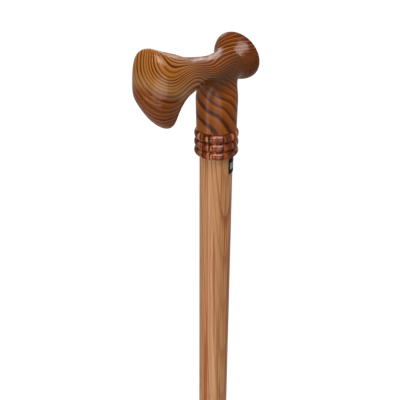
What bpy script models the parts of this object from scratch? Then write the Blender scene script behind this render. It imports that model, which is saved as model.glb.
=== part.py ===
"""Walking cane: a carved wooden palm grip, a turned collar with three beads, a tapered shaft and a rubber tip.

Frame: metres, +Z up along the shaft, +X from the palm towards the knob, Y across the grip.
The origin is the centre of the rubber tip's underside.
"""
import math

import bmesh
import bpy
from mathutils import Vector

MM = 0.001

# Clearances
SEAM_GAP = 0.3 * MM  # left between two faces that are glued or pushed together
BORE_CLEARANCE = 0.3 * MM  # round the screw, in both of its bores
BORE_END_ROOM = 3.0 * MM  # beyond each end of the screw

# Shaft: a straight taper with a spigot on top for the collar
SHAFT_LENGTH = 817.0 * MM  # from the lower end to the shoulder under the collar
SHAFT_TOP_R = 11.2 * MM
SHAFT_END_R = 8.6 * MM
SHAFT_EDGE = 0.8 * MM
SPIGOT_R = 8.0 * MM

# Collar
COLLAR_HEIGHT = 18.4 * MM
COLLAR_R = 14.8 * MM
COLLAR_BEADS = 3
COLLAR_GROOVE = 1.9 * MM  # depth between two beads
COLLAR_LIP = 0.4 * MM  # how far the collar's lower edge stands out from the shaft
BEAD_FULLNESS = 0.93  # 1 makes each bead a full half round

# Screw with a thread on both ends, which joins the handle to the shaft
SCREW_CREST_R = 4.0 * MM
SCREW_ROOT_R = 2.9 * MM
SCREW_SHANK = 12.0 * MM
SCREW_PITCH = 3.2 * MM
SCREW_IN_HANDLE = 32.0 * MM
SCREW_IN_SHAFT = 44.0 * MM
SCREW_POINT = 5.0 * MM
SCREW_POINT_R = 1.2 * MM

# Rubber tip and the steel washer in it
TIP_HEIGHT = 42.0 * MM
TIP_FLOOR = 6.0 * MM
TIP_WALL = 2.8 * MM
TIP_FOOT_R = 16.5 * MM
TIP_FOOT_HEIGHT = 7.0 * MM
TIP_EDGE = 1.2 * MM
TIP_RIBS = 3
TIP_RIB = 0.7 * MM  # how far a rib stands out
TIP_RIB_WIDTH = 2.0 * MM
TREAD_RADII = (5.5 * MM, 11.0 * MM)
TREAD_WIDTH = 1.8 * MM
TREAD_DEPTH = 1.5 * MM
WASHER_THICK = 1.2 * MM
WASHER_HOLE_R = 3.0 * MM

# Label: a thin film bent round the shaft, at an angle counted from +X towards +Y
LABEL_HEIGHT = 11.0 * MM
LABEL_WIDTH = 24.0 * MM
LABEL_DROP = 0.6 * MM  # from the collar down to the label
LABEL_THICK = 0.2 * MM
LABEL_ANGLE = math.radians(-37.0)
LABEL_STEPS = 14

# Handle: the neck
NECK_R = 13.4 * MM
NECK_FLARE = 0.8 * MM  # how much wider the neck is at the top
NECK_HEIGHT = 32.0 * MM  # from the collar to the underside of the arm
NECK_FILLET = 8.5 * MM
NECK_EDGE = 2.0 * MM  # keeps the lower edge crisp

# Handle: the knob, a flared disc whose axis leans back from +X
KNOB_R = 17.2 * MM
KNOB_REACH = 23.4 * MM  # from the shaft's axis to the middle of the rim
KNOB_RISE = 11.4 * MM  # from the arm's underside to the middle of the rim
KNOB_TILT = math.radians(13.4)
KNOB_DOME = 4.4 * MM
# Each ring: distance from the rim along the knob's axis, and how much smaller than the rim its radius is
KNOB_FLARE = ((-9.4 * MM, 5.4 * MM), (-4.7 * MM, 1.6 * MM), (-1.8 * MM, 0.6 * MM),
              (0.6 * MM, 0.0), (2.2 * MM, 1.9 * MM))

# Handle: the arm and the palm, as control sections from the knob's side to the rear.
# Each section: top, middle and bottom as (x, height above the arm's underside), then the half widths
# above, at and below the middle, all in mm, and how far out its two upper corners are drawn.
# The palm's widest line is the ridge over its heel.
GRIP_SECTIONS = (
    ((10.5, 19.0), (11.0, 9.3), (11.5, -0.5), (10.8, 10.8, 12.9), 1.0),
    ((0.0, 17.7), (0.0, 8.6), (0.0, -0.5), (11.0, 11.3, 13.0), 1.0),
    ((-12.5, 19.7), (-13.7, 11.3), (-15.0, 3.0), (10.6, 10.6, 8.4), 1.0),
    ((-24.0, 22.6), (-24.5, 14.0), (-25.0, 5.5), (10.8, 11.0, 10.0), 1.0),
    ((-36.1, 25.4), (-34.5, 15.0), (-33.3, 3.2), (12.4, 12.8, 12.4), 1.03),
    ((-47.4, 31.2), (-46.5, 14.0), (-45.4, 1.4), (15.3, 14.5, 11.7), 1.07),
    ((-61.1, 35.3), (-58.0, 12.5), (-50.6, -8.8), (17.6, 15.9, 10.1), 1.14),
    ((-69.6, 40.6), (-66.9, 11.0), (-50.4, -16.4), (16.9, 14.6, 11.0), 1.09),
    ((-74.0, 34.7), (-74.8, 8.6), (-64.0, -11.1), (10.0, 8.9, 8.8), 1.1),
)
PALM_END = (-79.5, 13.2)
NECK_SECTIONS = 3  # the first sections, whose underside opens into the neck
RIDGE_SHARPNESS = (0.25, 0.4)

SMOOTHING = 2  # subdivision steps on the handle
RING_SIDES = 8
# Smoothing pulls a control ring with this many sides in to this share of its radius.
RING_SHRINK = (2.0 + math.cos(2.0 * math.pi / RING_SIDES)) / 3.0
TURNED_SIDES = 48
BEAD_STEPS = 4  # on each half of a bead
SCREW_SIDES = 12
SCREW_STEPS = 4  # rings in one turn of the thread


# Heights that more than one piece uses

def shaft_end_z():
    return TIP_FLOOR + SEAM_GAP + WASHER_THICK + SEAM_GAP


def shoulder_z():
    return shaft_end_z() + SHAFT_LENGTH


def collar_z():
    return shoulder_z() + SEAM_GAP


def seam_z():
    """The top of the collar, where the screw crosses from the shaft to the handle."""
    return collar_z() + COLLAR_HEIGHT


def handle_z():
    return seam_z() + SEAM_GAP


def shaft_radius(z):
    share = (z - shaft_end_z()) / SHAFT_LENGTH
    return SHAFT_END_R + (SHAFT_TOP_R - SHAFT_END_R) * share


def screw_bore_radius():
    return SCREW_CREST_R + BORE_CLEARANCE


# Shared tools

def clear_scene():
    for obj in list(bpy.data.objects):
        bpy.data.objects.remove(obj)


def plain_material(name, colour, roughness, metallic=0.0):
    material = bpy.data.materials.new(name)
    material.use_nodes = True
    shader = material.node_tree.nodes["Principled BSDF"]
    shader.inputs["Base Color"].default_value = (*colour, 1.0)
    shader.inputs["Roughness"].default_value = roughness
    shader.inputs["Metallic"].default_value = metallic
    return material


def new_object(name, bm, material, sharp_angle=None):
    bmesh.ops.recalc_face_normals(bm, faces=bm.faces)
    mesh = bpy.data.meshes.new(name)
    bm.to_mesh(mesh)
    bm.free()
    mesh.shade_smooth()
    if sharp_angle is not None:
        mesh.set_sharp_from_angle(angle=sharp_angle)
    mesh.materials.append(material)
    obj = bpy.data.objects.new(name, mesh)
    bpy.context.scene.collection.objects.link(obj)
    return obj


def add_ring(bm, points):
    return [bm.verts.new(point) for point in points]


def bridge_rings(bm, first, second):
    """Join two rings with quads; a ring of one vertex is a pole on the axis."""
    sides = max(len(first), len(second))
    for i in range(sides):
        j = (i + 1) % sides
        if len(first) == 1:
            bm.faces.new((first[0], second[i], second[j]))
        elif len(second) == 1:
            bm.faces.new((first[i], first[j], second[0]))
        else:
            bm.faces.new((first[i], first[j], second[j], second[i]))


def circle(radius, z, sides):
    if radius == 0.0:
        return [Vector((0.0, 0.0, z))]
    angles = [2.0 * math.pi * i / sides for i in range(sides)]
    return [Vector((radius * math.cos(a), radius * math.sin(a), z)) for a in angles]


def turned(name, profile, material, sides=TURNED_SIDES, ring_shaped=False):
    """A turned solid from (radius, height) points: from the axis back to the axis, or a closed loop."""
    bm = bmesh.new()
    rings = [add_ring(bm, circle(radius, z, sides)) for radius, z in profile]
    for first, second in zip(rings, rings[1:]):
        bridge_rings(bm, first, second)
    if ring_shaped:
        bridge_rings(bm, rings[-1], rings[0])
    return new_object(name, bm, material, math.radians(35.0))


# Shaft, collar and screw

def shaft(material):
    """The origin is the centre of the shaft's lower end."""
    length = SHAFT_LENGTH
    top = seam_z() - shaft_end_z()
    bore_bottom = top - SCREW_IN_SHAFT - BORE_END_ROOM
    bore_r = screw_bore_radius()
    profile = [
        (0.0, 0.0),
        (SHAFT_END_R - SHAFT_EDGE, 0.0),
        (shaft_radius(shaft_end_z() + SHAFT_EDGE), SHAFT_EDGE),
        (SHAFT_TOP_R, length),
        (SPIGOT_R, length),
        (SPIGOT_R, top - SHAFT_EDGE),
        (SPIGOT_R - SHAFT_EDGE, top),
        (bore_r, top),
        (bore_r, bore_bottom),
        (0.0, bore_bottom),
    ]
    obj = turned("shaft", profile, material)
    obj.location.z = shaft_end_z()
    return obj


def bead_radius(place, edge_depth):
    """Radius at a place from -1 to 1 across a bead, which falls off by edge_depth at its edges."""
    fall = 1.0 - math.sqrt(1.0 - (BEAD_FULLNESS * place) ** 2)
    full_fall = 1.0 - math.sqrt(1.0 - BEAD_FULLNESS ** 2)
    return COLLAR_R - edge_depth * fall / full_fall


def collar_outline():
    """(radius, height) points down the collar's outside, from its top edge."""
    pitch = COLLAR_HEIGHT / COLLAR_BEADS
    lower_edge = COLLAR_R - (SHAFT_TOP_R + COLLAR_LIP)
    points = []
    for bead in range(COLLAR_BEADS):
        middle = COLLAR_HEIGHT - pitch * (bead + 0.5)
        last = bead == COLLAR_BEADS - 1
        for step in range(-BEAD_STEPS, BEAD_STEPS + 1):
            if bead > 0 and step == -BEAD_STEPS:
                continue
            place = step / BEAD_STEPS
            depth = lower_edge if last and step > 0 else COLLAR_GROOVE
            points.append((bead_radius(place, depth), middle - place * pitch / 2.0))
    return points


def collar(material):
    bore_r = SPIGOT_R + SEAM_GAP
    profile = [(bore_r, COLLAR_HEIGHT)] + collar_outline() + [(bore_r, 0.0)]
    obj = turned("collar", profile, material, ring_shaped=True)
    obj.location.z = collar_z()
    return obj


def screw_radius(turns, z):
    """Radius where the thread has made so many turns, at height z over the screw's middle."""
    to_end = (SCREW_IN_HANDLE - z) if z > 0.0 else (SCREW_IN_SHAFT + z)
    if abs(z) < SCREW_SHANK / 2.0:
        radius = SCREW_CREST_R
    else:
        ridge = abs(2.0 * (turns % 1.0) - 1.0)
        radius = SCREW_ROOT_R + (SCREW_CREST_R - SCREW_ROOT_R) * ridge
    share = min(1.0, max(0.0, to_end / SCREW_POINT))
    return SCREW_POINT_R + (radius - SCREW_POINT_R) * share


def dowel_screw(material):
    """Each vertex lies on a crest, a flank or a root, so the rings climb with the thread."""
    step = SCREW_PITCH / SCREW_STEPS
    count = int((SCREW_IN_HANDLE + SCREW_IN_SHAFT) / step)
    bm = bmesh.new()
    rings = [add_ring(bm, [Vector((0.0, 0.0, -SCREW_IN_SHAFT))])]
    for k in range(count):
        points = []
        for i in range(SCREW_SIDES):
            climb = (i * SCREW_STEPS / SCREW_SIDES) % 1.0
            z = -SCREW_IN_SHAFT + (k + climb) * step
            turns = (k + climb) / SCREW_STEPS - i / SCREW_SIDES
            radius = screw_radius(turns, z)
            angle = 2.0 * math.pi * i / SCREW_SIDES
            points.append(Vector((radius * math.cos(angle), radius * math.sin(angle), z)))
        rings.append(add_ring(bm, points))
    rings.append(add_ring(bm, [Vector((0.0, 0.0, SCREW_IN_HANDLE))]))
    for first, second in zip(rings, rings[1:]):
        bridge_rings(bm, first, second)
    obj = new_object("dowel_screw", bm, material, math.radians(50.0))
    obj.location.z = seam_z()
    return obj


# Rubber tip, washer and label

def tip_bore_radius():
    return shaft_radius(TIP_HEIGHT) + SEAM_GAP


def tread_outline():
    """(radius, height) points across the tip's underside, from the axis outwards."""
    points = [(0.0, 0.0)]
    for middle in TREAD_RADII:
        inner = middle - TREAD_WIDTH / 2.0
        outer = middle + TREAD_WIDTH / 2.0
        points += [(inner, 0.0), (inner, TREAD_DEPTH), (outer, TREAD_DEPTH), (outer, 0.0)]
    return points


def tip_side_outline():
    """(radius, height) points up the tip's outside, from the tread's edge to the mouth."""
    mouth_r = tip_bore_radius() + TIP_WALL
    foot_top = TIP_FOOT_HEIGHT
    waist_z = foot_top + (TIP_FOOT_R - mouth_r)
    points = [(TIP_FOOT_R - TIP_EDGE, 0.0), (TIP_FOOT_R, TIP_EDGE), (TIP_FOOT_R, foot_top - TIP_EDGE),
              (TIP_FOOT_R - TIP_EDGE / 2.0, foot_top), (mouth_r + TIP_EDGE, waist_z - TIP_EDGE),
              (mouth_r, waist_z + TIP_EDGE)]
    spacing = (TIP_HEIGHT - waist_z) / (TIP_RIBS + 1)
    for rib in range(TIP_RIBS):
        middle = waist_z + spacing * (rib + 1)
        half = TIP_RIB_WIDTH / 2.0
        points += [(mouth_r, middle - half), (mouth_r + TIP_RIB, middle - half / 2.0),
                   (mouth_r + TIP_RIB, middle + half / 2.0), (mouth_r, middle + half)]
    points += [(mouth_r, TIP_HEIGHT - TIP_EDGE / 2.0), (mouth_r - TIP_EDGE / 2.0, TIP_HEIGHT)]
    return points


def rubber_tip(material):
    bore_r = tip_bore_radius()
    bore = [(bore_r, TIP_HEIGHT), (bore_r, TIP_FLOOR), (0.0, TIP_FLOOR)]
    return turned("rubber_tip", tread_outline() + tip_side_outline() + bore, material)


def tip_washer(material):
    outer = SHAFT_END_R
    profile = [(WASHER_HOLE_R, 0.0), (outer, 0.0), (outer, WASHER_THICK), (WASHER_HOLE_R, WASHER_THICK)]
    obj = turned("tip_washer", profile, material, ring_shaped=True)
    obj.location.z = TIP_FLOOR + SEAM_GAP
    return obj


def label(material):
    """A bent film that follows the shaft's taper; the origin is on the shaft's axis."""
    top = shoulder_z() - LABEL_DROP
    bottom = top - LABEL_HEIGHT
    spread = LABEL_WIDTH / SHAFT_TOP_R
    bm = bmesh.new()
    rings = []
    for i in range(LABEL_STEPS + 1):
        angle = LABEL_ANGLE + spread * (i / LABEL_STEPS - 0.5)
        out = Vector((math.cos(angle), math.sin(angle), 0.0))
        points = []
        for z, lift in ((bottom, 0.0), (bottom, LABEL_THICK), (top, LABEL_THICK), (top, 0.0)):
            points.append(out * (shaft_radius(z) + SEAM_GAP + lift) + Vector((0.0, 0.0, z - bottom)))
        rings.append(add_ring(bm, points))
    for first, second in zip(rings, rings[1:]):
        bridge_rings(bm, first, second)
    bm.faces.new(rings[0])
    bm.faces.new(rings[-1])
    obj = new_object("label", bm, material, math.radians(35.0))
    obj.location.z = bottom
    return obj


# Handle

def grip_ring(section):
    """Control points round a section of the grip, from its top over the +Y side."""
    *spine, widths, shoulder = section
    top, middle, bottom = (Vector((x * MM, 0.0, NECK_HEIGHT + z * MM)) for x, z in spine)
    points = []
    for i in range(RING_SIDES):
        angle = 2.0 * math.pi * i / RING_SIDES
        rise = math.cos(angle)
        end = top if rise > 0.0 else bottom
        width = widths[1] if i % (RING_SIDES // 2) == RING_SIDES // 4 else widths[0 if rise > 0.0 else 2]
        across = Vector((0.0, width * MM * math.sin(angle), 0.0))
        fullness = shoulder if i in (1, RING_SIDES - 1) else 1.0
        points.append(middle + ((end - middle) * abs(rise) + across) * fullness / RING_SHRINK)
    return points


def knob_point(along, up, across):
    """A point in the knob's own directions, measured from the middle of its rim."""
    axis = Vector((math.cos(KNOB_TILT), 0.0, math.sin(KNOB_TILT)))
    rise = Vector((-math.sin(KNOB_TILT), 0.0, math.cos(KNOB_TILT)))
    middle = Vector((KNOB_REACH, 0.0, NECK_HEIGHT + KNOB_RISE))
    return middle + axis * along + rise * up + Vector((0.0, across, 0.0))


def knob_ring(along, shortfall):
    radius = (KNOB_R - shortfall) / RING_SHRINK
    angles = [2.0 * math.pi * i / RING_SIDES for i in range(RING_SIDES)]
    return [knob_point(along, radius * math.cos(a), radius * math.sin(a)) for a in angles]


def neck_ring(height):
    """Control points round the neck, starting at its rear on the +Y side."""
    radius = (NECK_R + NECK_FLARE * height / NECK_HEIGHT) / RING_SHRINK
    points = []
    for i in range(RING_SIDES):
        angle = math.pi / 4.0 - 2.0 * math.pi * i / RING_SIDES
        points.append(Vector((-radius * math.cos(angle), radius * math.sin(angle), height)))
    return points


def close_end(bm, ring, point):
    """Fill a ring with four quads that share one middle vertex."""
    middle = bm.verts.new(point)
    for i in range(0, RING_SIDES, 2):
        bm.faces.new((middle, ring[i], ring[i + 1], ring[(i + 2) % RING_SIDES]))
    return middle


def add_grip(bm):
    """The arm and the palm, with an opening under the first sections for the neck."""
    rings = [add_ring(bm, grip_ring(section)) for section in GRIP_SECTIONS]
    half = RING_SIDES // 2
    for index, (first, second) in enumerate(zip(rings, rings[1:])):
        for i in range(RING_SIDES):
            if index < NECK_SECTIONS - 1 and i in (half - 1, half):
                continue
            j = (i + 1) % RING_SIDES
            bm.faces.new((first[i], first[j], second[j], second[i]))
    end = close_end(bm, rings[-1], Vector((PALM_END[0] * MM, 0.0, NECK_HEIGHT + PALM_END[1] * MM)))
    return rings, end


def add_knob(bm, grip_front):
    rings = [add_ring(bm, knob_ring(*ring)) for ring in KNOB_FLARE]
    for first, second in zip([grip_front] + rings, rings):
        bridge_rings(bm, second, first)
    close_end(bm, rings[-1], knob_point(KNOB_DOME, 0.0, 0.0))


def add_neck(bm, grip_rings):
    """The neck, from the opening under the arm down to the collar; gives back its flat lower face."""
    front, middle, rear = grip_rings[:NECK_SECTIONS]
    half = RING_SIDES // 2
    last = [rear[half - 1], rear[half], rear[half + 1], middle[half + 1],
            front[half + 1], front[half], front[half - 1], middle[half - 1]]
    straight = NECK_HEIGHT - NECK_FILLET
    heights = (straight, straight * 0.75, straight * 0.4, NECK_EDGE, 0.0)
    for height in heights:
        ring = add_ring(bm, neck_ring(height))
        bridge_rings(bm, last, ring)
        last = ring
    return bm.faces.new(last)


def sharpen(bm, neck_face, grip_rings, end):
    """Keep the neck's lower edge crisp, and draw the ridge over the palm's heel together."""
    crease = bm.edges.layers.float.new("crease_edge")
    for edge in neck_face.edges:
        edge[crease] = 1.0
    side = RING_SIDES // 4
    before, rim, last = grip_rings[-3:]
    for i in (side, RING_SIDES - side):
        bm.edges.get((before[i], rim[i]))[crease] = RIDGE_SHARPNESS[0]
        bm.edges.get((rim[i], last[i]))[crease] = RIDGE_SHARPNESS[1]
        bm.edges.get((last[i], end))[crease] = RIDGE_SHARPNESS[1]


def screw_cutter():
    """The bore for the screw, up into the neck from below."""
    bm = bmesh.new()
    radius = screw_bore_radius()
    rings = [add_ring(bm, circle(r, z, TURNED_SIDES // 2)) for r, z in (
        (0.0, -NECK_EDGE), (radius, -NECK_EDGE),
        (radius, SCREW_IN_HANDLE + BORE_END_ROOM), (0.0, SCREW_IN_HANDLE + BORE_END_ROOM))]
    for first, second in zip(rings, rings[1:]):
        bridge_rings(bm, first, second)
    obj = new_object("screw_cutter", bm, plain_material("cutter", (1.0, 0.0, 0.0), 1.0))
    obj.location.z = handle_z()
    obj.hide_render = True
    obj.display_type = "WIRE"
    return obj


def handle(material):
    """One carved piece; the origin is the centre of the neck's lower face."""
    bm = bmesh.new()
    grip_rings, end = add_grip(bm)
    add_knob(bm, grip_rings[0])
    neck_face = add_neck(bm, grip_rings)
    sharpen(bm, neck_face, grip_rings, end)
    obj = new_object("handle", bm, material)
    obj.location.z = handle_z()
    smooth = obj.modifiers.new("smooth", "SUBSURF")
    smooth.levels = SMOOTHING
    smooth.render_levels = SMOOTHING
    bore = obj.modifiers.new("screw bore", "BOOLEAN")
    bore.operation = "DIFFERENCE"
    bore.solver = "EXACT"
    bore.object = screw_cutter()
    return obj


def main():
    clear_scene()
    steel = plain_material("steel", (0.55, 0.55, 0.57), 0.35, metallic=1.0)
    handle(plain_material("striped hardwood", (0.42, 0.19, 0.05), 0.25))
    collar(plain_material("red hardwood", (0.33, 0.11, 0.05), 0.3))
    shaft(plain_material("ash", (0.62, 0.38, 0.20), 0.4))
    dowel_screw(steel)
    label(plain_material("dark film", (0.02, 0.02, 0.02), 0.35))
    rubber_tip(plain_material("black rubber", (0.03, 0.03, 0.03), 0.8))
    tip_washer(steel)


main()
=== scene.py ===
"""Looks of a walking cane: a striped grip, a beaded collar, an ash shaft, a label and a rubber tip.

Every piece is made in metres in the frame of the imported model: +Z up along the shaft, +X from the
palm towards the knob. The growth rings of the handle and of the shaft are worked out from the place
in the solid wood, so the figure runs over edges and round corners as it does on a carved piece.
"""
import math

import bmesh
import bpy
import numpy as np
from mathutils import Matrix, Vector


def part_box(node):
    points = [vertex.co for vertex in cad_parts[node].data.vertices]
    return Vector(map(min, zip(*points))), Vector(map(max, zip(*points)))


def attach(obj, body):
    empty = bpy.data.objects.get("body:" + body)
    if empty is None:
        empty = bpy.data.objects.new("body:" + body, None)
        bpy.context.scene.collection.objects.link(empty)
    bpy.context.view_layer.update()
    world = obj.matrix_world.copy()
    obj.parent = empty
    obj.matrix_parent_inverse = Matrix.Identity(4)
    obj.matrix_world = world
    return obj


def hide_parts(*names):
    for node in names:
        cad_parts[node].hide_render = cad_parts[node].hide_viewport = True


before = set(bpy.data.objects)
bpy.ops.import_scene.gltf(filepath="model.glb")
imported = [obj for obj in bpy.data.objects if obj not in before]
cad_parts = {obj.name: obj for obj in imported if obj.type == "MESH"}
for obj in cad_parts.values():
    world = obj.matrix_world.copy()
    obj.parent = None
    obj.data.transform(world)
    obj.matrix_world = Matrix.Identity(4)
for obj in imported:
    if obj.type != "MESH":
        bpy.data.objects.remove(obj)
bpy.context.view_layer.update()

MM = 0.001

# Sizes that the frame gives
HANDLE_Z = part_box("handle")[0].z
COLLAR_BOTTOM, COLLAR_TOP = (corner.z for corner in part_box("collar"))
SHAFT_BOTTOM, SHAFT_TOP = (corner.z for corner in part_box("shaft"))
TIP_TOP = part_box("rubber_tip")[1].z
LABEL_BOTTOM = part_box("label")[0].z

# Handle: the same control cage as the solid's, smoothed further
HANDLE_SMOOTHING = 4
NECK_R = 13.4 * MM
NECK_FLARE = 0.8 * MM
NECK_HEIGHT = 32.0 * MM
NECK_FILLET = 8.5 * MM
NECK_EDGE = 2.0 * MM
KNOB_R = 17.2 * MM
KNOB_REACH = 23.4 * MM
KNOB_RISE = 11.4 * MM
KNOB_TILT = math.radians(13.4)
KNOB_DOME = 4.4 * MM
# Rings of the knob: how far each lies past the rim, and by how much it is narrower
KNOB_FLARE = ((-9.4 * MM, 5.4 * MM), (-4.7 * MM, 1.6 * MM), (-1.8 * MM, 0.6 * MM),
              (0.6 * MM, 0.0), (2.2 * MM, 1.9 * MM))
# Each section: top, middle and bottom as (x, height above the neck), then the half widths above, at
# and below the middle, all in mm, and how far out its two upper corners are drawn
GRIP_SECTIONS = (
    ((10.5, 19.0), (11.0, 9.3), (11.5, -0.5), (10.8, 10.8, 12.9), 1.0),
    ((0.0, 17.7), (0.0, 8.6), (0.0, -0.5), (11.0, 11.3, 13.0), 1.0),
    ((-12.5, 19.7), (-13.7, 11.3), (-15.0, 3.0), (10.6, 10.6, 8.4), 1.0),
    ((-24.0, 22.6), (-24.5, 14.0), (-25.0, 5.5), (10.8, 11.0, 10.0), 1.0),
    ((-36.1, 25.4), (-34.5, 15.0), (-33.3, 3.2), (12.4, 12.8, 12.4), 1.03),
    ((-47.4, 31.2), (-46.5, 14.0), (-45.4, 1.4), (15.3, 14.5, 11.7), 1.07),
    ((-61.1, 35.3), (-58.0, 12.5), (-50.6, -8.8), (17.6, 15.9, 10.1), 1.14),
    ((-69.6, 40.6), (-66.9, 11.0), (-50.4, -16.4), (16.9, 14.6, 11.0), 1.09),
    ((-74.0, 34.7), (-74.8, 8.6), (-64.0, -11.1), (10.0, 8.9, 8.8), 1.1),
)
PALM_END = (-79.5, 13.2)
# The first sections of the grip are open below, where the neck joins
NECK_SECTIONS = 3
# Rings of the neck, as shares of its straight part
NECK_LEVELS = (1.0, 0.75, 0.4)
# Creases where the ridge starts, and over the heel
RIDGE_SHARPNESS = (0.25, 0.4)
RING_SIDES = 8
RING_SHRINK = (2.0 + math.cos(2.0 * math.pi / RING_SIDES)) / 3.0

# Handle's growth rings, in mm from the middle of the neck's lower end
# Steps of a pith, the smooth line that rings go round, from one of its points to the next
PITH_STEPS = 10
# How far a place on the pith counts as being from it, which rounds off the middle of the figure
PITH_ROUNDING = 1.0
# The pith of the palm
GRIP_PITH = ((-63.0, -6.0, 61.0), (-36.0, -3.0, 63.0), (-12.0, -3.0, 56.0), (14.0, -3.0, 55.0))
GRIP_PITH_BLUR = 2.5
GRIP_OVAL = 0.69
GRIP_RING_WIDTH = 1.7
# A run of narrow rings among them
NARROW_RADIUS = 10.8
NARROW_REACH = 2.2
NARROW_RINGS = 2.2
# Layers that run through the arm and are thicker above it, in the knob. They lean down towards +Y
PALM_TO_ARM = (-50.0, 0.0)
LAYER_TOP = 51.0
LAYER_LEAN = 0.9
LAYER_LEAN_BLUR = 7.7
ARM_LAYER = 1.35
KNOB_LAYER = 2.6
LAYER_BLUR = 4.0
FIRST_LAYER = 2.0
# The pith of the neck, which lies outside the wood, and how its rings widen away from it
NECK_PITH = ((54.0, -37.0, 2.0), (-1.0, -27.0, 61.0), (-140.0, -117.0, 2.0))
NECK_PITH_BLUR = 8.0
NECK_RING_START = 20.0
NECK_RING_REACH = 4.0
NECK_RINGS = 4.2
FIRST_NECK_RING = 4.0
# Where the neck's figure gives way to the arm's
SEAM_HEIGHT = 43.0
SEAM_SLOPE = 0.37
SEAM_DEPTH = 5.0
NECK_REAR = (-21.0, -15.0)
NECK_FRONT = (20.0, 14.0)
# The palm's golden wood lies above a sloping line and ruddy wood below it, partly painted shade
# where the underside turns down. Its height is at the neck
GOLDEN_HEIGHT = 13.6
GOLDEN_SLOPE = -0.46
GOLDEN_BLUR = 5.0
# Where each kind of wood begins and where it is whole, in x, and in height for the neck's
GOLDEN_REACH = (-26.0, -66.0)
BROAD_BANDS_AND_SHADE_REACH = (-5.0, -45.0)
KNOB_WOOD_REACH = (10.0, 20.0)
NECK_WOOD_REACH = (36.0, 30.0)
# A painted sheen, a pale belt that stands in for a soft reflection over the palm's ridge: its lower
# and its upper edge over the sloping line, and where it begins in x
SHEEN_BELT_FOOT = (-2.0, 2.0)
SHEEN_BELT_TOP = (13.0, 4.0)
SHEEN_BELT_REACH = (-30.0, -50.0)
# The hollow between the neck and the arm, darker in tone from end grain together with painted
# shade: its line on the +Y side, and how far from the line the tone begins to pass and is gone
HOLLOW_LINE = ((-19.0, 4.0, 33.0), (-8.0, 9.0, 37.0), (8.0, 12.0, 43.0))
HOLLOW_BLUR = 2.0
HOLLOW_REACH = (2.5, 13.5)

# Collar
COLLAR_R = 14.8 * MM
COLLAR_BORE_R = 8.3 * MM
COLLAR_BEADS = 3
COLLAR_GROOVE = 1.9 * MM
COLLAR_LOWER_EDGE = 3.2 * MM
BEAD_FULLNESS = 0.96
BEAD_STEPS = 12
TURNED_SIDES = 144
SHARP_ANGLE = math.radians(35.0)

# Shaft
SHAFT_TOP_R = 11.2 * MM
SHAFT_END_R = 8.6 * MM
SHAFT_SHOULDER_DROP = 18.7 * MM
SPIGOT_R = 8.0 * MM
SHAFT_EDGE = 0.8 * MM
ASH_RING_WIDTH = 2.0 * MM
ASH_RING_LEAN = 0.05
ASH_OUTWARD = math.radians(-105.0)

# Rubber tip
TIP_FLOOR = 6.0 * MM
TIP_WALL = 2.8 * MM
TIP_GAP = 0.3 * MM
TIP_FOOT_R = 16.5 * MM
TIP_FOOT_HEIGHT = 7.0 * MM
TIP_EDGE = 1.0 * MM
TIP_HOLLOW = 0.6 * MM
TIP_RIBS = 3
TIP_RIB = 0.7 * MM
TIP_RIB_WIDTH = 2.0 * MM
TREAD_RADII = (5.5 * MM, 11.0 * MM)
TREAD_WIDTH = 1.8 * MM
TREAD_DEPTH = 1.5 * MM
ROUND_STEPS = 6

# Label: plain bars in rows, up from its lower edge and round the shaft from +X towards +Y
BAR_ROWS = 3
BAR_LOWEST = 3.3 * MM
BAR_PITCH = 1.6 * MM
BAR_SHARE = 0.62
BAR_SHORTEST = 0.6
BAR_START = math.radians(-92.0)
BAR_SPREAD = math.radians(100.0)

# Striped hardwood. A tone is a colour as it looks on a screen, and a pair of them is mixed by a
# fine pattern
GOLDEN_TONES = ((164, 98, 30), (186, 121, 54))
KNOB_TONE = (142, 80, 32)
RUDDY_TONES = ((120, 56, 10), (148, 74, 16))
ARM_RUDDY_TONES = ((96, 42, 8), (124, 58, 12))
KNOB_RUDDY_TONE = (98, 44, 14)
FLECK_TONE = (96, 48, 18)
LATE_TONES = ((74, 36, 12), (50, 23, 8))
# Painted sheen over the palm's ridge: its tone and how much of it is mixed in
PAINTED_SHEEN_TONE = (164, 130, 92)
PAINTED_SHEEN_SHARE = 0.28
# Darker tone in the hollow under the arm, end grain together with painted shade: its tone and share
END_GRAIN_AND_SHADE_TONE = (84, 48, 27)
END_GRAIN_AND_SHADE_SHARE = 0.75
# How far into a ring the early wood is fully ruddy, elsewhere and in the golden wood
RUDDY_PLACE = (0.4, 1.5)
# How ruddy it is all through the ring in the broad bands and the neck
RUDDY_SHARE = 0.8
# The dark line, in shares of its ring: where it ends, and where its fading starts
LINE_WOBBLE = 0.5
LINE_END = 0.96
LINE_FADE = 0.93
# The widest lines, elsewhere and in the broad bands, and the narrowest as a share of the widest
WIDEST_LINES = (0.6, 0.66)
NARROWER_IN_NECK = 0.16
NARROWEST_SHARE = 0.55
# The share of its width over which a line darkens
LINE_RISE = 0.45
# How dark the faintest lines are, as a share of the darkest, elsewhere and in the neck
FAINTEST_LINES = (0.42, 0.85)
# How dark the darkest lines are, in the arm and elsewhere
LINE_DEPTHS = (0.6, 0.93)
# Added to a line's number for a second random value
OTHER_CHANCE = 0.5
FIBRES_PER_RING = 5.0
FLECKS_PER_RING = 16.0
FLECK_RELIEF = 0.5
LINE_RELIEF = -0.2
# The span of a noise that counts, and how rough the wood is over it
NOISE_SPAN = (0.2, 0.8)
WOOD_ROUGHNESS = (0.5, 0.6)

# Red hardwood: bands from dark to pale, and the places in the noise that give a good run of them
BAND_TONES = ((104, 44, 24), (152, 74, 36))
PALE_BAND_TONE = (196, 126, 74)
STREAK_TONE = (56, 24, 16)
RED_FLECK_TONE = (86, 38, 24)
BAND_PLACE = 6.8
STREAK_PLACE = 9.2

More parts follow.
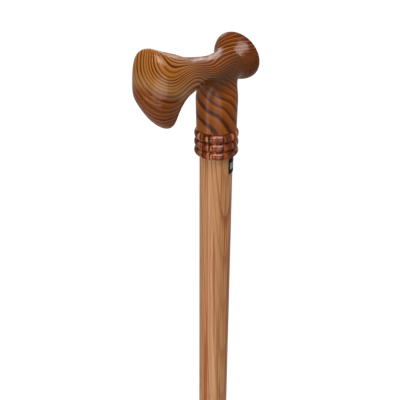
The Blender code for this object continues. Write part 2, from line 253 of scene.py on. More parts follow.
# Ash
ASH_TONES = ((206, 153, 104), (185, 131, 85))
ASH_LATE_TONE = (152, 86, 50)
ASH_FIBRE_TONE = (164, 104, 62)
ASH_STREAK_TONE = (158, 84, 46)
ASH_PORE_TONE = (120, 72, 44)
ASH_RING_BEND = 2.0
# Where in its ring the late wood darkens, and where it fades, and how dark its rings are
ASH_LATE_RISE = (0.45, 0.9)
ASH_LATE_FADE = 0.92
ASH_LATE_DEPTHS = (0.2, 0.9)

# Rubber, film and steel
NARROW_SPAN = (0.3, 0.7)
RUBBER_TONES = ((30, 30, 31), (46, 45, 44))
RUBBER_ROUGHNESS = (0.6, 0.75)
SCUFF_TONE = (84, 82, 78)
SCUFF_SHARE = 0.7
FILM_TONES = ((12, 12, 13), (22, 22, 24))
FILM_ROUGHNESS = (0.5, 0.6)
BAR_TONE = (172, 174, 176)
STEEL_TONES = ((176, 177, 180), (200, 200, 202))
STEEL_ROUGHNESS = (0.28, 0.42)

# Camera
CAMERA_PLACE = (-0.4578, -0.3072, 1.0750)
CAMERA_AZIMUTH = math.radians(-55.6)
CAMERA_PITCH = math.radians(27.36)
CAMERA_ROLL = math.radians(0.53)
CAMERA_LENS = 78.09
CAMERA_SENSOR = 36.0

# Floor and light
FLOOR_HALF = 15.0
FLOOR_CELLS = 8
# The floor leaves room for the rubber tip to be pulled off downwards
FLOOR_DROP = 41.0 * MM
FLOOR_COLOUR = (0.9, 0.9, 0.9, 1.0)
WHITE = (1.0, 1.0, 1.0, 1.0)
FLOOR_GLOW = 1.2
FLOOR_GLOW_SHARE = 0.85
AMBIENT = 0.22
GRIP_MIDDLE = (-0.03, 0.0, 0.88)


def srgb(red, green, blue):
    """The linear values that a shader takes for a colour as it looks on a screen, from 0 to 255."""
    shares = [value / 255.0 for value in (red, green, blue)]
    linear = [s / 12.92 if s <= 0.04045 else ((s + 0.055) / 1.055) ** 2.4 for s in shares]
    return (*linear, 1.0)


# Mesh tools

def add_ring(bm, points):
    return [bm.verts.new(point) for point in points]


def bridge_rings(bm, first, second):
    """Join two rings with quads; a ring of one vertex is a pole on the axis."""
    sides = max(len(first), len(second))
    for i in range(sides):
        j = (i + 1) % sides
        if len(first) == 1:
            bm.faces.new((first[0], second[i], second[j]))
        elif len(second) == 1:
            bm.faces.new((first[i], first[j], second[0]))
        else:
            bm.faces.new((first[i], first[j], second[j], second[i]))


def circle(radius, z):
    """Points of a ring of a turned piece, or one point on the axis."""
    if radius == 0.0:
        return [Vector((0.0, 0.0, z))]
    angles = [2.0 * math.pi * i / TURNED_SIDES for i in range(TURNED_SIDES)]
    return [Vector((radius * math.cos(a), radius * math.sin(a), z)) for a in angles]


def new_piece(name, bm, sharp_angle=None):
    """A smooth-shaded object of the mesh, crisp at edges that bend by more than the angle."""
    bmesh.ops.recalc_face_normals(bm, faces=bm.faces)
    mesh = bpy.data.meshes.new(name)
    bm.to_mesh(mesh)
    bm.free()
    mesh.shade_smooth()
    if sharp_angle is not None:
        mesh.set_sharp_from_angle(angle=sharp_angle)
    piece = bpy.data.objects.new(name, mesh)
    bpy.context.scene.collection.objects.link(piece)
    return piece


def turned(name, profile, ring_shaped=False):
    """A turned piece from (radius, height) points, from axis to axis, or round a closed loop."""
    bm = bmesh.new()
    rings = [add_ring(bm, circle(radius, z)) for radius, z in profile]
    for first, second in zip(rings, rings[1:]):
        bridge_rings(bm, first, second)
    if ring_shaped:
        bridge_rings(bm, rings[-1], rings[0])
    return new_piece(name, bm, SHARP_ANGLE)


def apply_modifiers(piece):
    """Replace the piece's mesh by what its modifiers make of it."""
    graph = bpy.context.evaluated_depsgraph_get()
    mesh = bpy.data.meshes.new_from_object(piece.evaluated_get(graph))
    piece.modifiers.clear()
    piece.data = mesh


def vertex_places(mesh):
    places = np.empty(len(mesh.vertices) * 3)
    mesh.vertices.foreach_get("co", places)
    return places.reshape(-1, 3)


def store_attribute(mesh, name, values):
    attribute = mesh.attributes.new(name, "FLOAT", "POINT")
    attribute.data.foreach_set("value", values.astype(np.float32))


# Growth rings

def ease(value, start, end):
    """Share of the way from start to end, from 0 to 1, that levels off at both."""
    share = np.clip((value - start) / (end - start), 0.0, 1.0)
    return share * share * (3.0 - 2.0 * share)


def above_zero(value, blur):
    """The value where it is over 0, else 0, with the bend between them rounded off."""
    return (value + np.sqrt(value * value + blur * blur)) / 2.0


def pith_line(points):
    """A smooth line through the points, from the first to the last."""
    points = [np.array(point, float) for point in points]
    points = [2.0 * points[0] - points[1]] + points + [2.0 * points[-1] - points[-2]]
    line = []
    for before, start, end, after in zip(points, points[1:], points[2:], points[3:]):
        for share in np.arange(PITH_STEPS) / PITH_STEPS:
            straight = 2.0 * start + (end - before) * share
            bend = (2.0 * before - 5.0 * start + 4.0 * end - after) * share ** 2
            twist = (3.0 * start - before - 3.0 * end + after) * share ** 3
            line.append(0.5 * (straight + bend + twist))
    return line + [points[-2]]


def ring_radius(places, pith, blur, oval=1.0):
    """How far each place is from the pith, in mm; rings are higher than wide where oval is under 1.

    Where two stretches of the pith are about equally near, blur rounds off the ridge between them.
    """
    squeeze = np.array((1.0, 1.0, oval))
    line = [point * squeeze for point in pith_line(pith)]
    places = places * squeeze
    squares = []
    for start, end in zip(line, line[1:]):
        along = end - start
        share = np.clip((places - start) @ along / (along @ along), 0.0, 1.0)
        gap = places - start - share[:, None] * along
        squares.append((gap ** 2).sum(axis=1))
    nearest = np.min(squares, axis=0)
    crowding = sum(np.exp((nearest - square) / blur ** 2) for square in squares)
    return np.sqrt(np.maximum(nearest - blur ** 2 * np.log(crowding), 0.0) + PITH_ROUNDING ** 2)


def handle_rings(places):
    """Count of growth rings at each place in the handle's block: late wood ends at whole numbers.

    Rings go round the palm's pith, run on through the arm as layers, and open out in the knob. The
    neck's own rings meet them in the hollow under the arm.
    """
    x, y, h = places.T
    radius = ring_radius(places, GRIP_PITH, GRIP_PITH_BLUR, GRIP_OVAL)
    narrow = NARROW_RINGS * np.tanh((radius - NARROW_RADIUS) / NARROW_REACH)
    palm = radius / GRIP_RING_WIDTH + narrow
    under = LAYER_TOP - h - LAYER_LEAN * above_zero(y, LAYER_LEAN_BLUR)
    crowded = 1.0 / ARM_LAYER - 1.0 / KNOB_LAYER
    layers = FIRST_LAYER + under / KNOB_LAYER + crowded * above_zero(under, LAYER_BLUR)
    grip = palm + (layers - palm) * ease(x, *PALM_TO_ARM)
    away = ring_radius(places, NECK_PITH, NECK_PITH_BLUR) - NECK_RING_START
    neck = FIRST_NECK_RING + NECK_RINGS * np.arcsinh(away / NECK_RING_REACH)
    seam = SEAM_HEIGHT + SEAM_SLOPE * x
    low = ease(h, seam, seam - SEAM_DEPTH) * ease(x, *NECK_REAR) * ease(x, *NECK_FRONT)
    return grip + (neck - grip) * low


def handle_zones(places):
    """Shares from 0 to 1 of the handle's kinds of wood.

    Golden early wood lies in the palm and broad dark bands under it, partly painted shade where the
    underside turns down, and the neck and the knob have their own colours. The tone is darker in
    the hollow, from end grain together with painted shade, and a painted sheen lies in a pale belt
    over the palm's ridge.
    """
    x, y, h = places.T
    above = h - (GOLDEN_HEIGHT + GOLDEN_SLOPE * x)
    # Below the sloping line the wood turns ruddy: partly its figure, partly painted shade of the
    # underside
    above_underside_shade = ease(above, 0.0, GOLDEN_BLUR)
    # The hollow under the arm: darker end grain together with painted shade
    hollow = ring_radius(np.column_stack((x, np.abs(y), h)), HOLLOW_LINE, HOLLOW_BLUR)
    return {
        "golden": above_underside_shade * ease(x, *GOLDEN_REACH),
        "broad_bands_and_shade": (1.0 - above_underside_shade) * ease(x, *BROAD_BANDS_AND_SHADE_REACH),
        "neck": ease(h, *NECK_WOOD_REACH) * ease(x, *NECK_REAR) * ease(x, *NECK_FRONT),
        "knob": ease(x, *KNOB_WOOD_REACH),
        "end_grain_and_shade": 1.0 - ease(hollow, *HOLLOW_REACH),
        # Painted sheen: a pale belt over the palm's ridge
        "painted_sheen": ease(above, *SHEEN_BELT_FOOT) * ease(above, *SHEEN_BELT_TOP) * ease(x, *SHEEN_BELT_REACH),
    }


# Handle

def grip_ring(section):
    """Control points round a section of the grip, from its top over the +Y side."""
    *spine, widths, shoulder = section
    top, middle, bottom = (Vector((x * MM, 0.0, NECK_HEIGHT + z * MM)) for x, z in spine)
    above, level, below = widths
    points = []
    for i in range(RING_SIDES):
        angle = 2.0 * math.pi * i / RING_SIDES
        rise = math.cos(angle)
        end, width = (top, above) if rise > 0.0 else (bottom, below)
        if i % (RING_SIDES // 2) == RING_SIDES // 4:
            width = level
        across = Vector((0.0, width * MM * math.sin(angle), 0.0))
        fullness = shoulder if i in (1, RING_SIDES - 1) else 1.0
        points.append(middle + ((end - middle) * abs(rise) + across) * fullness / RING_SHRINK)
    return points


def knob_point(along, up, across):
    """A point in the knob's own directions, measured from the middle of its rim."""
    axis = Vector((math.cos(KNOB_TILT), 0.0, math.sin(KNOB_TILT)))
    rise = Vector((-math.sin(KNOB_TILT), 0.0, math.cos(KNOB_TILT)))
    middle = Vector((KNOB_REACH, 0.0, NECK_HEIGHT + KNOB_RISE))
    return middle + axis * along + rise * up + Vector((0.0, across, 0.0))


def knob_ring(along, shortfall):
    radius = (KNOB_R - shortfall) / RING_SHRINK
    angles = [2.0 * math.pi * i / RING_SIDES for i in range(RING_SIDES)]
    return [knob_point(along, radius * math.cos(a), radius * math.sin(a)) for a in angles]


def neck_ring(height):
    """Control points round the neck, starting at its rear on the +Y side."""
    radius = (NECK_R + NECK_FLARE * height / NECK_HEIGHT) / RING_SHRINK
    points = []
    for i in range(RING_SIDES):
        angle = math.pi / 4.0 - 2.0 * math.pi * i / RING_SIDES
        points.append(Vector((-radius * math.cos(angle), radius * math.sin(angle), height)))
    return points


def close_end(bm, ring, point):
    """Fill a ring with four quads that share one middle vertex."""
    middle = bm.verts.new(point)
    for i in range(0, RING_SIDES, 2):
        bm.faces.new((middle, ring[i], ring[i + 1], ring[(i + 2) % RING_SIDES]))
    return middle


def add_grip(bm):
    """The arm and the palm, with an opening under the first sections for the neck."""
    rings = [add_ring(bm, grip_ring(section)) for section in GRIP_SECTIONS]
    half = RING_SIDES // 2
    for index, (first, second) in enumerate(zip(rings, rings[1:])):
        for i in range(RING_SIDES):
            if index < NECK_SECTIONS - 1 and i in (half - 1, half):
                continue
            j = (i + 1) % RING_SIDES
            bm.faces.new((first[i], first[j], second[j], second[i]))
    end = close_end(bm, rings[-1], Vector((PALM_END[0] * MM, 0.0, NECK_HEIGHT + PALM_END[1] * MM)))
    return rings, end


def add_knob(bm, grip_front):
    rings = [add_ring(bm, knob_ring(*ring)) for ring in KNOB_FLARE]
    for first, second in zip([grip_front] + rings, rings):
        bridge_rings(bm, second, first)
    close_end(bm, rings[-1], knob_point(KNOB_DOME, 0.0, 0.0))


def add_neck(bm, grip_rings):
    """The neck, from the opening under the arm to the collar; gives back its flat lower face."""
    front, middle, rear = grip_rings[:NECK_SECTIONS]
    half = RING_SIDES // 2
    last = [rear[half - 1], rear[half], rear[half + 1], middle[half + 1],
            front[half + 1], front[half], front[half - 1], middle[half - 1]]
    straight = NECK_HEIGHT - NECK_FILLET
    for height in [straight * level for level in NECK_LEVELS] + [NECK_EDGE, 0.0]:
        ring = add_ring(bm, neck_ring(height))
        bridge_rings(bm, last, ring)
        last = ring
    return bm.faces.new(last)


def sharpen(bm, neck_face, grip_rings, end):
    """Keep the neck's lower edge crisp, and draw the ridge over the palm's heel together."""
    crease = bm.edges.layers.float.new("crease_edge")
    for edge in neck_face.edges:
        edge[crease] = 1.0
    side = RING_SIDES // 4
    before, rim, last = grip_rings[-3:]
    for i in (side, RING_SIDES - side):
        bm.edges.get((before[i], rim[i]))[crease] = RIDGE_SHARPNESS[0]
        bm.edges.get((rim[i], last[i]))[crease] = RIDGE_SHARPNESS[1]
        bm.edges.get((last[i], end))[crease] = RIDGE_SHARPNESS[1]


def make_handle():
    bm = bmesh.new()
    grip_rings, end = add_grip(bm)
    add_knob(bm, grip_rings[0])
    neck_face = add_neck(bm, grip_rings)
    sharpen(bm, neck_face, grip_rings, end)
    bmesh.ops.translate(bm, verts=bm.verts, vec=(0.0, 0.0, HANDLE_Z))
    piece = new_piece("carved_handle", bm)
    smooth = piece.modifiers.new("smooth", "SUBSURF")
    smooth.levels = smooth.render_levels = HANDLE_SMOOTHING
    apply_modifiers(piece)
    places = (vertex_places(piece.data) - np.array((0.0, 0.0, HANDLE_Z))) / MM
    store_attribute(piece.data, "ring", handle_rings(places))
    for name, share in handle_zones(places).items():
        store_attribute(piece.data, name, share)
    return piece


# Collar and shaft

def bead_radius(place, edge_depth):
    """Radius at a place from -1 to 1 across a bead, which falls off by edge_depth at its edges."""
    fall = 1.0 - math.sqrt(1.0 - (BEAD_FULLNESS * place) ** 2)
    full_fall = 1.0 - math.sqrt(1.0 - BEAD_FULLNESS ** 2)
    return COLLAR_R - edge_depth * fall / full_fall


def collar_outline():
    """(radius, height) points down the collar's outside, from its top edge."""
    pitch = (COLLAR_TOP - COLLAR_BOTTOM) / COLLAR_BEADS
    points = []
    for bead in range(COLLAR_BEADS):
        middle = COLLAR_TOP - pitch * (bead + 0.5)
        last = bead == COLLAR_BEADS - 1
        for step in range(-BEAD_STEPS, BEAD_STEPS + 1):
            if bead > 0 and step == -BEAD_STEPS:
                continue
            place = step / BEAD_STEPS
            depth = COLLAR_LOWER_EDGE if last and step > 0 else COLLAR_GROOVE
            points.append((bead_radius(place, depth), middle - place * pitch / 2.0))
    return points


def make_collar():
    profile = [(COLLAR_BORE_R, COLLAR_TOP)] + collar_outline() + [(COLLAR_BORE_R, COLLAR_BOTTOM)]
    return turned("turned_collar", profile, ring_shaped=True)


def make_shaft():
    shoulder = SHAFT_TOP - SHAFT_SHOULDER_DROP
    profile = [
        (0.0, SHAFT_BOTTOM),
        (SHAFT_END_R - SHAFT_EDGE, SHAFT_BOTTOM),
        (SHAFT_END_R, SHAFT_BOTTOM + SHAFT_EDGE),
        (SHAFT_TOP_R, shoulder),
        (SPIGOT_R, shoulder),
        (SPIGOT_R, SHAFT_TOP - SHAFT_EDGE),
        (SPIGOT_R - SHAFT_EDGE, SHAFT_TOP),
        (0.0, SHAFT_TOP),
    ]
    return turned("tapered_shaft", profile)


# Rubber tip

def arc(middle_r, middle_z, radius, start, end):
    """Points of an arc in a turned profile, with its angles in degrees from outwards towards up."""
    angles = [math.radians(start + (end - start) * i / ROUND_STEPS) for i in range(ROUND_STEPS + 1)]
    return [(middle_r + radius * math.cos(a), middle_z + radius * math.sin(a)) for a in angles]


def tread_outline():
    """(radius, height) points across the tip's underside, from the axis outwards."""
    points = [(0.0, 0.0)]
    for middle in TREAD_RADII:
        inner = middle - TREAD_WIDTH / 2.0
        outer = middle + TREAD_WIDTH / 2.0
        points += [(inner, 0.0), (inner, TREAD_DEPTH), (outer, TREAD_DEPTH), (outer, 0.0)]
    return points


def rib_outline(radius, middle):
    """A rounded rib that stands out from the radius."""
    angles = [math.pi * (i / (2 * ROUND_STEPS) - 0.5) for i in range(2 * ROUND_STEPS + 1)]
    half = TIP_RIB_WIDTH / 2.0
    return [(radius + TIP_RIB * math.cos(a), middle + half * math.sin(a)) for a in angles]


def make_tip():
    """The tip: a tread, a foot that narrows in a slight hollow, ribs, and a bore for the shaft."""
    shoulder = SHAFT_TOP - SHAFT_SHOULDER_DROP
    slope = (SHAFT_TOP_R - SHAFT_END_R) / (shoulder - SHAFT_BOTTOM)
    bore_r = SHAFT_END_R + slope * (TIP_TOP - SHAFT_BOTTOM) + TIP_GAP
    mouth_r = bore_r + TIP_WALL
    flare = TIP_FOOT_R - mouth_r
    profile = tread_outline()
    profile += arc(TIP_FOOT_R - TIP_EDGE, TIP_EDGE, TIP_EDGE, -90.0, 0.0)
    profile += arc(TIP_FOOT_R - TIP_EDGE, TIP_FOOT_HEIGHT - TIP_EDGE, TIP_EDGE, 0.0, 45.0)
    start = profile[-1]
    waist = TIP_FOOT_HEIGHT + flare
    for i in range(1, 2 * ROUND_STEPS + 1):
        share = i / (2 * ROUND_STEPS)
        radius = start[0] + (mouth_r - start[0]) * share - TIP_HOLLOW * math.sin(math.pi * share)
        profile.append((radius, start[1] + (waist - start[1]) * share))
    for rib in range(TIP_RIBS):
        profile += rib_outline(mouth_r, waist + (TIP_TOP - waist) * (rib + 1) / (TIP_RIBS + 1))
    profile += arc(mouth_r - TIP_EDGE, TIP_TOP - TIP_EDGE, TIP_EDGE, 0.0, 90.0)
    profile += [(bore_r, TIP_TOP), (bore_r, TIP_FLOOR), (0.0, TIP_FLOOR)]
    return turned("moulded_tip", profile)


# Materials

class Nodes:
    """Short calls that add nodes to one material; each gives back an output socket."""

    def __init__(self, name):
        self.material = bpy.data.materials.new(name)
        self.material.use_nodes = True
        self.tree = self.material.node_tree
        self.shader = self.tree.nodes["Principled BSDF"]

    def put(self, socket, value):
        if isinstance(value, bpy.types.NodeSocket):
            self.tree.links.new(value, socket)
        else:
            socket.default_value = value

    def add(self, kind, sockets, output, **settings):
        node = self.tree.nodes.new(kind)
        for key, value in settings.items():
            setattr(node, key, value)
        for socket, value in sockets.items():
            self.put(node.inputs[socket], value)
        return node.outputs[output]

    def finish(self, **sockets):
        for name, value in sockets.items():
            self.put(self.shader.inputs[name.replace("_", " ")], value)
        return self.material

    def attribute(self, name):
        return self.add("ShaderNodeAttribute", {}, "Fac", attribute_name=name)

    def place(self, lengthwise=1.0):
        """The place on the object in metres; lengthwise under 1 draws patterns out along z."""
        sockets = {0: self.add("ShaderNodeTexCoord", {}, "Object"), 1: (1.0, 1.0, lengthwise)}
        return self.add("ShaderNodeVectorMath", sockets, 0, operation="MULTIPLY")

    def math(self, operation, *values):
        return self.add("ShaderNodeMath", dict(enumerate(values)), 0, operation=operation)

    def noise(self, vector, scale, detail=2.0, roughness=0.5, w=0.0):
        sockets = {"Vector": vector, "W": w, "Scale": scale, "Detail": detail}
        sockets["Roughness"] = roughness
        return self.add("ShaderNodeTexNoise", sockets, "Fac", noise_dimensions="4D")

    def chance(self, number):
        """A fixed random value from 0 to 1 for each whole number."""
        return self.add("ShaderNodeTexWhiteNoise", {"W": number}, "Value", noise_dimensions="1D")

    def span(self, value, low, high, new_low=0.0, new_high=1.0):
        """From new_low to new_high while the value goes from low to high, level at both ends."""
        sockets = {"Value": value, "From Min": low, "From Max": high}
        sockets.update({"To Min": new_low, "To Max": new_high})
        return self.add("ShaderNodeMapRange", sockets, "Result", interpolation_type="SMOOTHSTEP")

    def between(self, share, low, high):
        """From low to high while the share goes from 0 to 1."""
        return self.span(share, 0.0, 1.0, low, high)

    def mix(self, share, first, second):
        return self.add("ShaderNodeMix", {0: share, 6: first, 7: second}, 2, data_type="RGBA")

    def tones(self, share, pair):
        """A mix of two colours that are given as they look on a screen."""
        return self.mix(share, srgb(*pair[0]), srgb(*pair[1]))

    def stain(self, colour, tone, noise, start, full, share=1.0):
        """Mix a tone in where the noise is high, from none at start to its share at full."""
        return self.mix(self.span(noise, start, full, 0.0, share), colour, srgb(*tone))

    def bump(self, height, distance, strength):
        sockets = {"Height": height, "Distance": distance, "Strength": strength}
        return self.add("ShaderNodeBump", sockets, "Normal")


def striped_hardwood():
    """Varnished wood with dark growth lines, read from the handle's own attributes."""
    nodes = Nodes("striped_hardwood")
    zones = ("golden", "broad_bands_and_shade", "neck", "knob", "painted_sheen", "end_grain_and_shade")
    golden, broad_bands_and_shade, neck, knob, painted_sheen, end_grain_and_shade = (nodes.attribute(zone) for zone in zones)
    wobble = nodes.noise(nodes.place(), scale=90.0, detail=3.0)
    ring = nodes.math("MULTIPLY_ADD", wobble, LINE_WOBBLE, nodes.attribute("ring"))
    line = nodes.math("FLOOR", ring)
    share = nodes.math("SUBTRACT", ring, line)
    narrower = nodes.math("MULTIPLY", neck, NARROWER_IN_NECK)
    widest = nodes.math("SUBTRACT", nodes.between(broad_bands_and_shade, *WIDEST_LINES), narrower)
    width = nodes.math("MULTIPLY", widest, nodes.between(nodes.chance(line), NARROWEST_SHARE, 1.0))
    start = nodes.math("SUBTRACT", LINE_END, width)
    full = nodes.math("MULTIPLY_ADD", width, LINE_RISE, start)
    fading = nodes.span(share, LINE_FADE, 1.0, 1.0, 0.0)
    dark = nodes.math("MULTIPLY", nodes.span(share, start, full), fading)
    bold = nodes.math("MAXIMUM", nodes.math("MAXIMUM", golden, broad_bands_and_shade), neck)
    bold = nodes.math("MAXIMUM", bold, knob)
    chance = nodes.chance(nodes.math("ADD", line, OTHER_CHANCE))
    depth = nodes.between(chance, nodes.between(neck, *FAINTEST_LINES), 1.0)
    depth = nodes.math("MULTIPLY", depth, nodes.between(bold, *LINE_DEPTHS))
    dark = nodes.math("MULTIPLY", dark, depth)
    fibre = nodes.noise(nodes.place(), scale=60.0, detail=4.0, roughness=0.6,
                        w=nodes.math("MULTIPLY", ring, FIBRES_PER_RING))
    fleck = nodes.noise(nodes.place(), scale=140.0, detail=3.0, roughness=0.6,
                        w=nodes.math("MULTIPLY", ring, FLECKS_PER_RING))
    patch = nodes.noise(nodes.place(), scale=45.0)
    light = nodes.mix(knob, nodes.tones(fibre, GOLDEN_TONES), srgb(*KNOB_TONE))
    ruddy = nodes.mix(bold, nodes.tones(fibre, ARM_RUDDY_TONES), nodes.tones(fibre, RUDDY_TONES))
    ruddy = nodes.mix(knob, ruddy, srgb(*KNOB_RUDDY_TONE))
    redness = nodes.span(share, 0.0, nodes.between(golden, *RUDDY_PLACE))
    # Ruddy all through the ring in the broad bands: partly painted shade of the underside
    least = nodes.math("MULTIPLY", nodes.math("MAXIMUM", broad_bands_and_shade, neck), RUDDY_SHARE)
    early = nodes.mix(nodes.math("MAXIMUM", redness, least), light, ruddy)
    early = nodes.stain(early, FLECK_TONE, fleck, start=0.45, full=0.75, share=0.35)
    colour = nodes.mix(dark, early, nodes.tones(patch, LATE_TONES))
    # Painted sheen: a pale belt over the palm's ridge that stands in for a soft reflection
    colour = nodes.mix(nodes.math("MULTIPLY", painted_sheen, PAINTED_SHEEN_SHARE), colour, srgb(*PAINTED_SHEEN_TONE))
    # Darker tone in the hollow: end grain together with painted shade
    colour = nodes.mix(nodes.math("MULTIPLY", end_grain_and_shade, END_GRAIN_AND_SHADE_SHARE), colour, srgb(*END_GRAIN_AND_SHADE_TONE))
    grooves = nodes.math("MULTIPLY", dark, LINE_RELIEF)
    relief = nodes.math("MULTIPLY_ADD", fleck, FLECK_RELIEF, grooves)
    return nodes.finish(
        Base_Color=colour,
        Roughness=nodes.span(fleck, *NOISE_SPAN, *WOOD_ROUGHNESS),
        Specular_IOR_Level=0.0,
        Coat_Weight=0.36,
        Coat_IOR=1.25,
        Coat_Roughness=0.22,
        Normal=nodes.bump(relief, distance=0.05 * MM, strength=0.5))


def red_hardwood():
    """Polished turned wood with upright bands that run through all the beads."""
    nodes = Nodes("red_hardwood")
    band = nodes.noise(nodes.place(lengthwise=0.05), scale=300.0, detail=1.0, w=BAND_PLACE)
    streak = nodes.noise(nodes.place(lengthwise=0.06), scale=620.0, roughness=0.6, w=STREAK_PLACE)
    fleck = nodes.noise(nodes.place(lengthwise=0.35), scale=700.0, detail=3.0, roughness=0.6)
    colour = nodes.tones(nodes.span(band, low=0.42, high=0.5), BAND_TONES)
    colour = nodes.stain(colour, PALE_BAND_TONE, band, start=0.54, full=0.6)
    colour = nodes.stain(colour, STREAK_TONE, streak, start=0.53, full=0.57)
    colour = nodes.stain(colour, RED_FLECK_TONE, fleck, start=0.5, full=0.75, share=0.6)
    return nodes.finish(
        Base_Color=colour,
        Roughness=nodes.span(fleck, *NOISE_SPAN, *WOOD_ROUGHNESS),
        Specular_IOR_Level=0.0,
        Coat_Weight=0.3,
        Coat_IOR=1.3,
        Coat_Roughness=0.07,
        Normal=nodes.bump(fleck, distance=0.06 * MM, strength=0.4))


def ash():
    """Varnished ash: fine streaks along the grain, and growth rings cut into long points."""
    nodes = Nodes("ash")
    bend = nodes.noise(nodes.place(lengthwise=0.2), scale=25.0)
    direction = (math.cos(ASH_OUTWARD), math.sin(ASH_OUTWARD), ASH_RING_LEAN)
    sockets = {0: nodes.place(), 1: direction}
    outward = nodes.add("ShaderNodeVectorMath", sockets, "Value", operation="DOT_PRODUCT")
    bend = nodes.math("MULTIPLY", bend, ASH_RING_BEND)
    ring = nodes.math("MULTIPLY_ADD", outward, 1.0 / ASH_RING_WIDTH, bend)
    line = nodes.math("FLOOR", ring)
    share = nodes.math("SUBTRACT", ring, line)
    fading = nodes.span(share, ASH_LATE_FADE, 1.0, 1.0, 0.0)
    late = nodes.math("MULTIPLY", nodes.span(share, *ASH_LATE_RISE), fading)
    late = nodes.math("MULTIPLY", late, nodes.between(nodes.chance(line), *ASH_LATE_DEPTHS))
    streak = nodes.noise(nodes.place(lengthwise=0.008), scale=800.0, detail=1.0)
    fibre = nodes.noise(nodes.place(lengthwise=0.012), scale=1500.0)
    pore = nodes.noise(nodes.place(lengthwise=0.05), scale=2600.0)
    patch = nodes.noise(nodes.place(lengthwise=0.1), scale=120.0)
    colour = nodes.mix(late, nodes.tones(patch, ASH_TONES), srgb(*ASH_LATE_TONE))
    colour = nodes.stain(colour, ASH_FIBRE_TONE, fibre, start=0.5, full=0.6, share=0.4)
    colour = nodes.stain(colour, ASH_STREAK_TONE, streak, start=0.54, full=0.6, share=0.85)
    colour = nodes.stain(colour, ASH_PORE_TONE, pore, start=0.62, full=0.74, share=0.5)
    return nodes.finish(
        Base_Color=colour,
        Roughness=nodes.span(fibre, *NOISE_SPAN, *WOOD_ROUGHNESS),
        Specular_IOR_Level=0.0,
        Coat_Weight=0.4,
        Coat_IOR=1.25,
        Coat_Roughness=0.3,
        Normal=nodes.bump(pore, distance=0.04 * MM, strength=0.4))


def black_rubber():
    """Moulded rubber with a fine grain, a little dust, and scuffs towards the floor."""
    nodes = Nodes("black_rubber")
    grain = nodes.noise(nodes.place(), scale=2400.0, detail=3.0)
    dust = nodes.noise(nodes.place(), scale=60.0, detail=3.0)
    height = nodes.add("ShaderNodeSeparateXYZ", {0: nodes.place()}, "Z")
    scuff = nodes.noise(nodes.place(lengthwise=4.0), scale=300.0, detail=3.0, roughness=0.6)
    low = nodes.span(height, 0.0, TIP_FOOT_HEIGHT, SCUFF_SHARE, 0.0)
    scuff = nodes.math("MULTIPLY", nodes.span(scuff, low=0.5, high=0.7), low)
    colour = nodes.tones(nodes.span(dust, low=0.35, high=0.75), RUBBER_TONES)
    colour = nodes.mix(scuff, colour, srgb(*SCUFF_TONE))
    return nodes.finish(
        Base_Color=colour,
        Roughness=nodes.span(dust, *NARROW_SPAN, *RUBBER_ROUGHNESS),
        Specular_IOR_Level=0.3,
        Normal=nodes.bump(grain, distance=0.05 * MM, strength=0.5))


def dark_film():
    """Printed film: plain bars on a dark ground, in rows of unequal length."""
    nodes = Nodes("dark_film")
    grain = nodes.noise(nodes.place(), scale=1500.0)
    x, y, z = (nodes.add("ShaderNodeSeparateXYZ", {0: nodes.place()}, axis) for axis in "XYZ")
    height = nodes.math("DIVIDE", nodes.math("SUBTRACT", z, LABEL_BOTTOM + BAR_LOWEST), BAR_PITCH)
    row = nodes.math("FLOOR", height)
    printed = nodes.math("LESS_THAN", nodes.math("SUBTRACT", height, row), BAR_SHARE)
    in_rows = nodes.math("COMPARE", row, (BAR_ROWS - 1) / 2.0, BAR_ROWS / 2.0)
    printed = nodes.math("MULTIPLY", printed, in_rows)
    around = nodes.math("SUBTRACT", nodes.math("ARCTAN2", y, x), BAR_START)
    length = nodes.between(nodes.chance(row), BAR_SHORTEST * BAR_SPREAD, BAR_SPREAD)
    printed = nodes.math("MULTIPLY", printed, nodes.math("GREATER_THAN", around, 0.0))
    printed = nodes.math("MULTIPLY", printed, nodes.math("LESS_THAN", around, length))
    colour = nodes.mix(printed, nodes.tones(grain, FILM_TONES), srgb(*BAR_TONE))
    return nodes.finish(
        Base_Color=colour,
        Roughness=nodes.span(grain, *NARROW_SPAN, *FILM_ROUGHNESS),
        Specular_IOR_Level=0.03,
        Normal=nodes.bump(grain, distance=0.02 * MM, strength=0.3))


def plain_steel():
    """Plated steel with fine brushed marks along it."""
    nodes = Nodes("plain_steel")
    brushed = nodes.noise(nodes.place(lengthwise=0.1), scale=1800.0, detail=3.0)
    return nodes.finish(
        Base_Color=nodes.tones(brushed, STEEL_TONES),
        Metallic=1.0,
        Roughness=nodes.span(brushed, *NARROW_SPAN, *STEEL_ROUGHNESS),
        Normal=nodes.bump(brushed, distance=0.02 * MM, strength=0.3))


def dress(piece, material):
    piece.data.materials.clear()
    piece.data.materials.append(material)


def dress_node(name, material):
    """Give a material to a solid that shows as it is."""
    for material_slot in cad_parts[name].material_slots:
        material_slot.material = material


# Floor, lights and camera

def seen_directly(tree):
    """1 for what the camera sees, in a mirror or glass too, and 0 for light on other things."""
    path = tree.nodes.new("ShaderNodeLightPath")
    share = path.outputs["Is Camera Ray"]
    for kind in ("Is Glossy Ray", "Is Transmission Ray"):
        either = tree.nodes.new("ShaderNodeMath")
        either.operation = "MAXIMUM"
        tree.links.new(share, either.inputs[0])
        tree.links.new(path.outputs[kind], either.inputs[1])
        share = either.outputs[0]
    return share


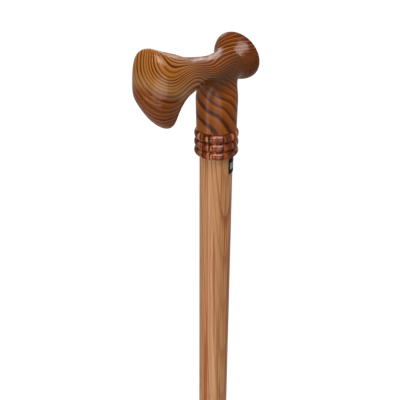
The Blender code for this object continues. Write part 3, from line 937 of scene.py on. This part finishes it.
def make_floor():
    """A pale floor that looks white to the camera and still takes the object's shadow."""
    bm = bmesh.new()
    bmesh.ops.create_grid(bm, x_segments=FLOOR_CELLS, y_segments=FLOOR_CELLS, size=FLOOR_HALF)
    bmesh.ops.translate(bm, verts=bm.verts, vec=(0.0, 0.0, -FLOOR_DROP))
    floor = new_piece("floor", bm)
    nodes = Nodes("pale_floor")
    tree = nodes.tree
    diffuse = nodes.add("ShaderNodeBsdfDiffuse", {"Color": FLOOR_COLOUR}, 0)
    glow = nodes.add("ShaderNodeEmission", {"Color": WHITE, "Strength": FLOOR_GLOW}, 0)
    share = nodes.math("MULTIPLY", seen_directly(tree), FLOOR_GLOW_SHARE)
    mixed = nodes.add("ShaderNodeMixShader", {0: share, 1: diffuse, 2: glow}, 0)
    tree.links.new(mixed, tree.nodes["Material Output"].inputs["Surface"])
    tree.nodes.remove(nodes.shader)
    dress(floor, nodes.material)


def make_world():
    """White where it is seen, and a weak even light on the object."""
    world = bpy.data.worlds.new("studio")
    bpy.context.scene.world = world
    world.use_nodes = True
    tree = world.node_tree
    strength = tree.nodes.new("ShaderNodeMapRange")
    strength.inputs["To Min"].default_value = AMBIENT
    strength.inputs["To Max"].default_value = 1.0
    tree.links.new(seen_directly(tree), strength.inputs["Value"])
    background = tree.nodes["Background"]
    background.inputs["Color"].default_value = WHITE
    tree.links.new(strength.outputs["Result"], background.inputs["Strength"])


def add_lamp(name, start, end, width, power, diffuse=True, gloss=True):
    """A soft lamp stretched from start to end, facing the grip; it lights colour, gloss or both."""
    start, end = Vector(start), Vector(end)
    middle = (start + end) / 2.0
    back = (middle - Vector(GRIP_MIDDLE)).normalized()
    across = (end - start).cross(back).normalized()
    data = bpy.data.lights.new(name, "AREA")
    data.shape = "RECTANGLE"
    data.size = width
    data.size_y = (end - start).length
    data.energy = power
    lamp = bpy.data.objects.new(name, data)
    bpy.context.scene.collection.objects.link(lamp)
    turn = Matrix((across, back.cross(across), back)).transposed().to_4x4()
    lamp.matrix_world = Matrix.Translation(middle) @ turn
    lamp.visible_camera = False
    lamp.visible_diffuse = diffuse
    lamp.visible_glossy = gloss


def make_lamps():
    """Lamps over and round the grip. The fills light only colour, and the glosses only varnish."""
    add_lamp("overhead", (-0.14, -0.66, 1.75), (-0.42, -0.09, 1.75), width=0.4, power=9.0)
    add_lamp("low_front", (-0.9, -0.6, 0.05), (-0.9, -0.6, 0.85), width=0.8, power=2.5)
    # Each with its start, its end, its width and its power
    fills = (
        ("left_strip", (-0.74, 0.31, 0.15), (-0.74, 0.31, 1.35), 0.16, 2.8),
        ("back_fill", (0.9, 0.1, 1.3), (0.4, 0.9, 1.3), 0.5, 5.0),
    )
    for fill in fills:
        add_lamp(*fill, gloss=False)
    glosses = (
        ("front_gloss", (-0.86, -0.18, 1.55), (-0.29, -0.9, 1.55), 0.6, 66.0),
        ("palm_gloss", (-0.9, -0.2, 0.68), (-0.35, -0.75, 0.68), 0.3, 9.0),
        ("ridge_gloss", (-0.71, 0.29, 0.58), (-0.31, -0.36, 0.23), 0.14, 6.0),
        ("back_gloss", (0.9, 0.3, 1.15), (0.35, 0.9, 1.15), 0.35, 5.0),
    )
    for gloss in glosses:
        add_lamp(*gloss, diffuse=False)


def make_camera():
    data = bpy.data.cameras.new("camera")
    data.lens = CAMERA_LENS
    data.sensor_width = CAMERA_SENSOR
    camera = bpy.data.objects.new("camera", data)
    bpy.context.scene.collection.objects.link(camera)
    level = Matrix.Rotation(CAMERA_AZIMUTH, 4, "Z")
    tilt = Matrix.Rotation(math.pi / 2.0 - CAMERA_PITCH, 4, "X")
    roll = Matrix.Rotation(CAMERA_ROLL, 4, "Z")
    camera.matrix_world = Matrix.Translation(CAMERA_PLACE) @ level @ tilt @ roll
    bpy.context.scene.camera = camera


def place_piece(piece, node, body, material):
    """Dress a piece that rides on a body and stands for a node."""
    dress(piece, material)
    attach(piece, body)
    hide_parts(node)


def main():
    place_piece(make_handle(), "handle", "cane", striped_hardwood())
    place_piece(make_collar(), "collar", "cane", red_hardwood())
    place_piece(make_shaft(), "shaft", "cane", ash())
    dress_node("label", dark_film())
    place_piece(make_tip(), "rubber_tip", "tip", black_rubber())
    steel = plain_steel()
    dress_node("dowel_screw", steel)
    dress_node("tip_washer", steel)
    make_floor()
    make_world()
    make_lamps()
    make_camera()
    bpy.context.scene.view_settings.view_transform = "Standard"


main()
